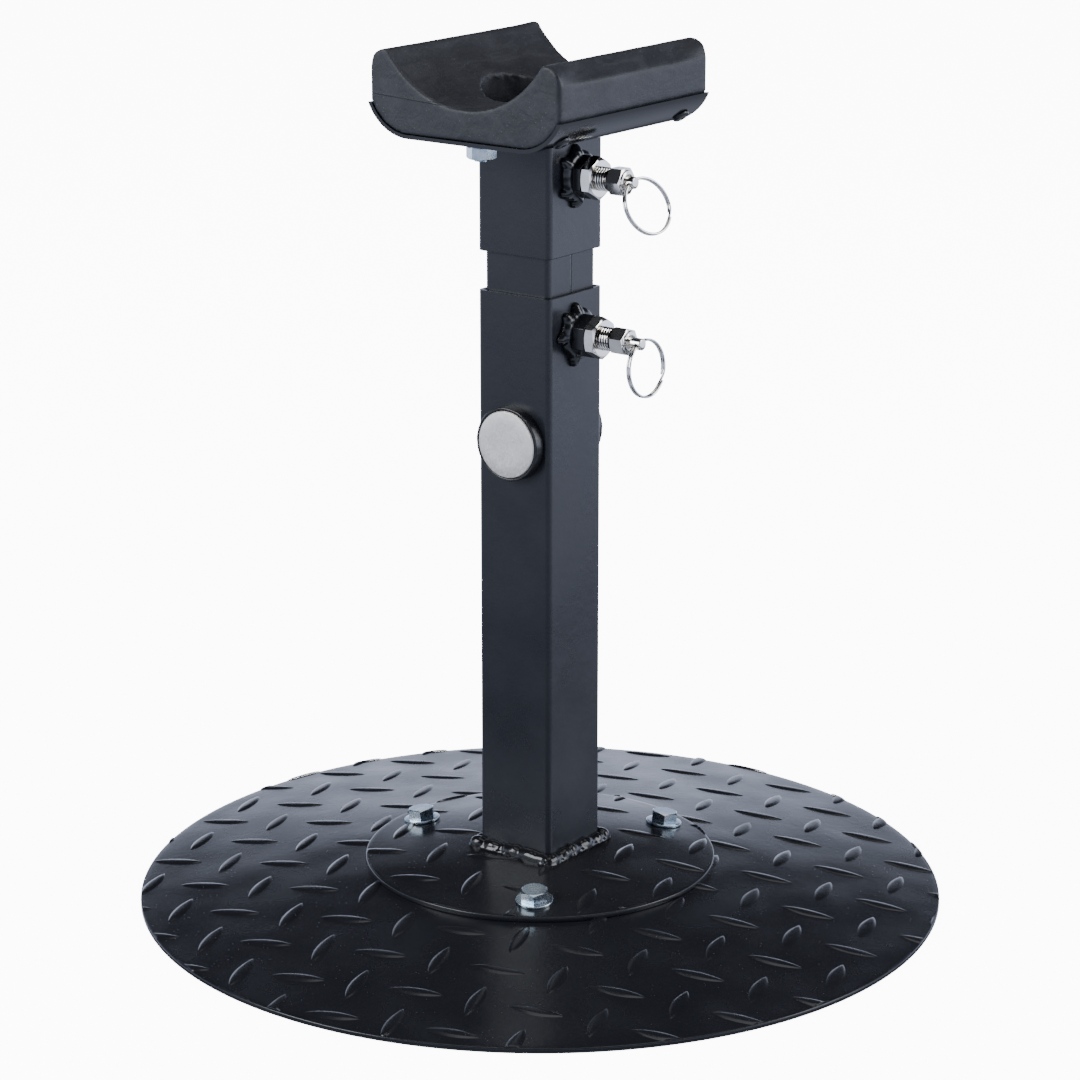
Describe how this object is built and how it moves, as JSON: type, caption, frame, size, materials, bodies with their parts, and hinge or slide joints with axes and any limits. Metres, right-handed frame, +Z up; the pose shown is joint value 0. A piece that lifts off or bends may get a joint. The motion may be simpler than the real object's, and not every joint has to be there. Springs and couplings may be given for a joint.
{
  "type": "farrier hoof stand",
  "caption": "Adjustable farrier's hoof stand: round tread-plate base, telescoping square post with spring plungers and pull rings, tool magnets, rubber cradle head.",
  "frame": {"origin": "centre of the round base's rim, on the floor", "axes": "+Z up along the post, +X out of the tube face that carries the plungers, -Y out of the front tool magnet; the cradle's trough runs along Y"},
  "size_m": [0.4199, 0.42, 0.446],
  "materials": {
    "base_tread_plate": "satin",
    "flange_tread_plate": "satin",
    "tube_powder_coat": "satin",
    "weld_black": "gloss",
    "tray_paint": "gloss",
    "magnet_cup_paint": "satin",
    "magnet_plating": "satin",
    "zinc_plating": "satin",
    "nickel_plating": "polished",
    "spring_steel": "satin",
    "cradle_rubber": "matte",
    "screw_black": "satin"
  },
  "bodies": {
    "base": {"base_plate": "base_tread_plate", "flange_plate": "flange_tread_plate", "base_bolts": "zinc_plating", "base_washers": "zinc_plating", "base_lower_washers": "zinc_plating", "base_nuts": "zinc_plating", "lower_tube": "tube_powder_coat", "foot_weld": "weld_black", "magnet_cup_front": "magnet_cup_paint", "magnet_cup_back": "magnet_cup_paint", "magnet_disc_front": "magnet_plating", "magnet_disc_back": "magnet_plating", "lower_weld_nut": "weld_black", "lower_nut_weld": "weld_black", "lower_jam_nut": "nickel_plating", "lower_plunger_body": "nickel_plating", "lower_plunger_spring": "spring_steel"},
    "lower_pin": {"lower_pin": "nickel_plating"},
    "lower_ring": {"lower_pull_ring": "nickel_plating"},
    "mast": {"inner_tube": "tube_powder_coat"},
    "head": {"head_sleeve": "tube_powder_coat", "upper_weld_nut": "weld_black", "upper_nut_weld": "weld_black", "upper_jam_nut": "nickel_plating", "upper_plunger_body": "nickel_plating", "upper_plunger_spring": "spring_steel", "cradle_tray": "tray_paint", "tray_weld": "weld_black", "rubber_pad": "cradle_rubber", "pad_bolts": "zinc_plating", "pad_nuts": "zinc_plating", "tray_screws": "screw_black"},
    "upper_pin": {"upper_pin": "nickel_plating"},
    "upper_ring": {"upper_pull_ring": "nickel_plating"}
  },
  "joints": [
    {"name": "mast_slide", "type": "slide", "parent": "base", "child": "mast", "axis": [0, 0, 1], "range_m": [-0.0197, 0.1745]},
    {"name": "head_lift", "type": "slide", "parent": "mast", "child": "head", "axis": [0, 0, 1], "range_m": [0, 0.05]},
    {"name": "lower_pin_pull", "type": "slide", "parent": "base", "child": "lower_pin", "axis": [1, 0, 0], "range_m": [0, 0.0045], "stiffness_N_per_m": 1500, "springref_m": -0.008, "deforming": ["lower_plunger_spring"]},
    {"name": "lower_ring_swing", "type": "hinge", "parent": "lower_pin", "child": "lower_ring", "pos_m": [0.0606, 0, 0.302], "axis": [0, -0.9336, -0.3584], "range_deg": [-66, 236]},
    {"name": "upper_pin_pull", "type": "slide", "parent": "head", "child": "upper_pin", "axis": [1, 0, 0], "range_m": [0, 0.0045], "stiffness_N_per_m": 1500, "springref_m": -0.008, "deforming": ["upper_plunger_spring"]},
    {"name": "upper_ring_swing", "type": "hinge", "parent": "upper_pin", "child": "upper_ring", "pos_m": [0.0555, 0, 0.3821], "axis": [0, -0.9272, -0.3746], "range_deg": [-1, 126]}
  ]
}
